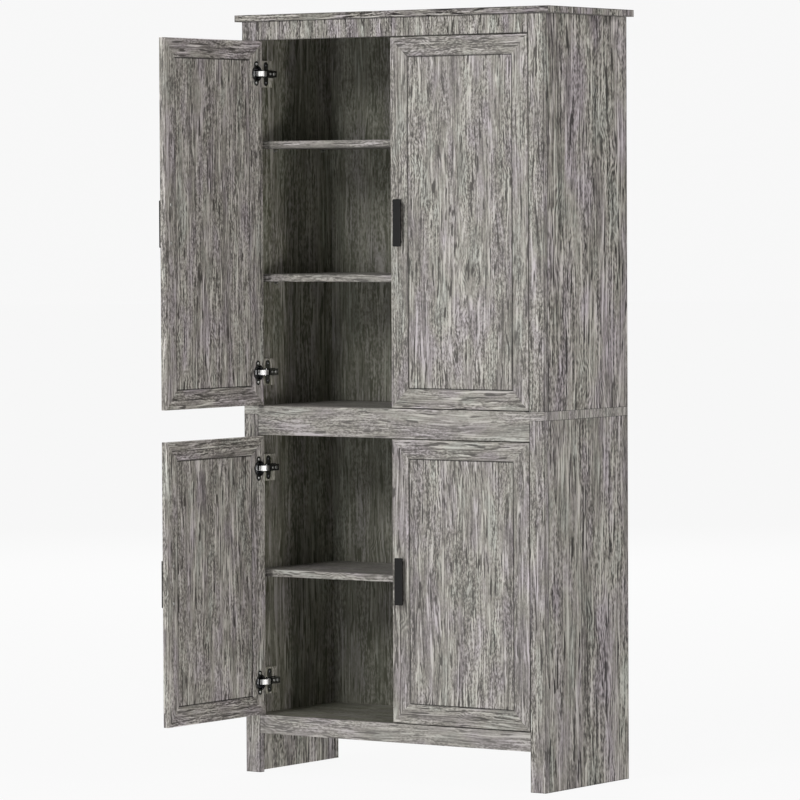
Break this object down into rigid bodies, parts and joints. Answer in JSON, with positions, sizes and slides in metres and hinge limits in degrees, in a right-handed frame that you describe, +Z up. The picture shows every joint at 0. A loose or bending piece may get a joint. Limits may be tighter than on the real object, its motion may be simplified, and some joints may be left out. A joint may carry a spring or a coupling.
{
  "type": "pantry cupboard",
  "caption": "Tall two-tier pantry cupboard of grey oak laminate with inset framed doors on concealed cup hinges, bar handles, inner shelves and leg panels.",
  "frame": {"origin": "on the floor under the middle of the case's front face; with the left-hand doors stored open the whole box's bottom centre lies 10.6 mm in front of it, which the frame check's tolerance covers", "axes": "+X to the right seen from the front, +Y from the front to the back, +Z up"},
  "size_m": [0.902, 0.7533, 1.829],
  "materials": {
    "oak": "grey weathered oak laminate, matt",
    "inner_oak": "grey weathered oak laminate, matt",
    "handle_black": "black powder coat, satin",
    "hinge_steel": "nickel-plated steel, bright"
  },
  "bodies": {
    "case": {"top_board": "oak", "mid_deck": "oak", "frieze_rail": "oak", "mid_rail": "oak", "bottom_rail": "oak", "lower_floor": "inner_oak", "upper_back_panel": "inner_oak", "lower_back_panel": "inner_oak", "middle_shelf": "inner_oak", "high_shelf": "inner_oak", "lower_shelf": "inner_oak", "upper_left_side": "oak", "upper_left_stile": "oak", "upper_left_door_bottom_hinge_arm": "hinge_steel", "upper_left_door_top_hinge_arm": "hinge_steel", "lower_left_side": "oak", "lower_left_stile": "oak", "lower_left_door_bottom_hinge_arm": "hinge_steel", "lower_left_door_top_hinge_arm": "hinge_steel", "upper_right_side": "oak", "upper_right_stile": "oak", "upper_right_door_bottom_hinge_arm": "hinge_steel", "upper_right_door_top_hinge_arm": "hinge_steel", "lower_right_side": "oak", "lower_right_stile": "oak", "lower_right_door_bottom_hinge_arm": "hinge_steel", "lower_right_door_top_hinge_arm": "hinge_steel"},
    "upper_left_door": {"upper_left_door_frame": "oak", "upper_left_door_panel": "oak", "upper_left_door_handle": "handle_black", "upper_left_door_bottom_hinge_cup": "hinge_steel", "upper_left_door_top_hinge_cup": "hinge_steel"},
    "upper_left_door_bottom_hinge_link": {"upper_left_door_bottom_hinge_link": "hinge_steel"},
    "upper_left_door_top_hinge_link": {"upper_left_door_top_hinge_link": "hinge_steel"},
    "lower_left_door": {"lower_left_door_frame": "oak", "lower_left_door_panel": "oak", "lower_left_door_handle": "handle_black", "lower_left_door_bottom_hinge_cup": "hinge_steel", "lower_left_door_top_hinge_cup": "hinge_steel"},
    "lower_left_door_bottom_hinge_link": {"lower_left_door_bottom_hinge_link": "hinge_steel"},
    "lower_left_door_top_hinge_link": {"lower_left_door_top_hinge_link": "hinge_steel"},
    "upper_right_door": {"upper_right_door_frame": "oak", "upper_right_door_panel": "oak", "upper_right_door_handle": "handle_black", "upper_right_door_bottom_hinge_cup": "hinge_steel", "upper_right_door_top_hinge_cup": "hinge_steel"},
    "upper_right_door_bottom_hinge_link": {"upper_right_door_bottom_hinge_link": "hinge_steel"},
    "upper_right_door_top_hinge_link": {"upper_right_door_top_hinge_link": "hinge_steel"},
    "lower_right_door": {"lower_right_door_frame": "oak", "lower_right_door_panel": "oak", "lower_right_door_handle": "handle_black", "lower_right_door_bottom_hinge_cup": "hinge_steel", "lower_right_door_top_hinge_cup": "hinge_steel"},
    "lower_right_door_bottom_hinge_link": {"lower_right_door_bottom_hinge_link": "hinge_steel"},
    "lower_right_door_top_hinge_link": {"lower_right_door_top_hinge_link": "hinge_steel"}
  },
  "joints": [
    {"name": "upper_left_door_swing", "type": "hinge", "parent": "case", "child": "upper_left_door", "pos_m": [-0.3885, 0, 1.328], "axis": [0, 0, -1], "range_deg": [-90, 5]},
    {"name": "upper_left_door_bottom_hinge_link_turn", "type": "hinge", "parent": "case", "child": "upper_left_door_bottom_hinge_link", "pos_m": [-0.3825, 0.019, 0.9685], "axis": [0, 0, -1], "range_deg": [-65.6, 3.7]},
    {"name": "upper_left_door_top_hinge_link_turn", "type": "hinge", "parent": "case", "child": "upper_left_door_top_hinge_link", "pos_m": [-0.3825, 0.019, 1.6875], "axis": [0, 0, -1], "range_deg": [-65.6, 3.7]},
    {"name": "lower_left_door_swing", "type": "hinge", "parent": "case", "child": "lower_left_door", "pos_m": [-0.3885, 0, 0.479], "axis": [0, 0, -1], "range_deg": [-90, 5]},
    {"name": "lower_left_door_bottom_hinge_link_turn", "type": "hinge", "parent": "case", "child": "lower_left_door_bottom_hinge_link", "pos_m": [-0.3825, 0.019, 0.2205], "axis": [0, 0, -1], "range_deg": [-65.6, 3.7]},
    {"name": "lower_left_door_top_hinge_link_turn", "type": "hinge", "parent": "case", "child": "lower_left_door_top_hinge_link", "pos_m": [-0.3825, 0.019, 0.7375], "axis": [0, 0, -1], "range_deg": [-65.6, 3.7]},
    {"name": "upper_right_door_swing", "type": "hinge", "parent": "case", "child": "upper_right_door", "pos_m": [0.3885, 0, 1.328], "axis": [0, 0, 1], "range_deg": [0, 95]},
    {"name": "upper_right_door_bottom_hinge_link_turn", "type": "hinge", "parent": "case", "child": "upper_right_door_bottom_hinge_link", "pos_m": [0.3825, 0.019, 0.9685], "axis": [0, 0, 1], "range_deg": [0, 69.2]},
    {"name": "upper_right_door_top_hinge_link_turn", "type": "hinge", "parent": "case", "child": "upper_right_door_top_hinge_link", "pos_m": [0.3825, 0.019, 1.6875], "axis": [0, 0, 1], "range_deg": [0, 69.2]},
    {"name": "lower_right_door_swing", "type": "hinge", "parent": "case", "child": "lower_right_door", "pos_m": [0.3885, 0, 0.479], "axis": [0, 0, 1], "range_deg": [0, 95]},
    {"name": "lower_right_door_bottom_hinge_link_turn", "type": "hinge", "parent": "case", "child": "lower_right_door_bottom_hinge_link", "pos_m": [0.3825, 0.019, 0.2205], "axis": [0, 0, 1], "range_deg": [0, 69.2]},
    {"name": "lower_right_door_top_hinge_link_turn", "type": "hinge", "parent": "case", "child": "lower_right_door_top_hinge_link", "pos_m": [0.3825, 0.019, 0.7375], "axis": [0, 0, 1], "range_deg": [0, 69.2]}
  ],
  "couplings": [
    {"joint": "upper_left_door_bottom_hinge_link_turn", "follows": "upper_left_door_swing", "ratio": 0.728},
    {"joint": "upper_left_door_top_hinge_link_turn", "follows": "upper_left_door_swing", "ratio": 0.728},
    {"joint": "lower_left_door_bottom_hinge_link_turn", "follows": "lower_left_door_swing", "ratio": 0.728},
    {"joint": "lower_left_door_top_hinge_link_turn", "follows": "lower_left_door_swing", "ratio": 0.728},
    {"joint": "upper_right_door_bottom_hinge_link_turn", "follows": "upper_right_door_swing", "ratio": 0.728},
    {"joint": "upper_right_door_top_hinge_link_turn", "follows": "upper_right_door_swing", "ratio": 0.728},
    {"joint": "lower_right_door_bottom_hinge_link_turn", "follows": "lower_right_door_swing", "ratio": 0.728},
    {"joint": "lower_right_door_top_hinge_link_turn", "follows": "lower_right_door_swing", "ratio": 0.728}
  ]
}
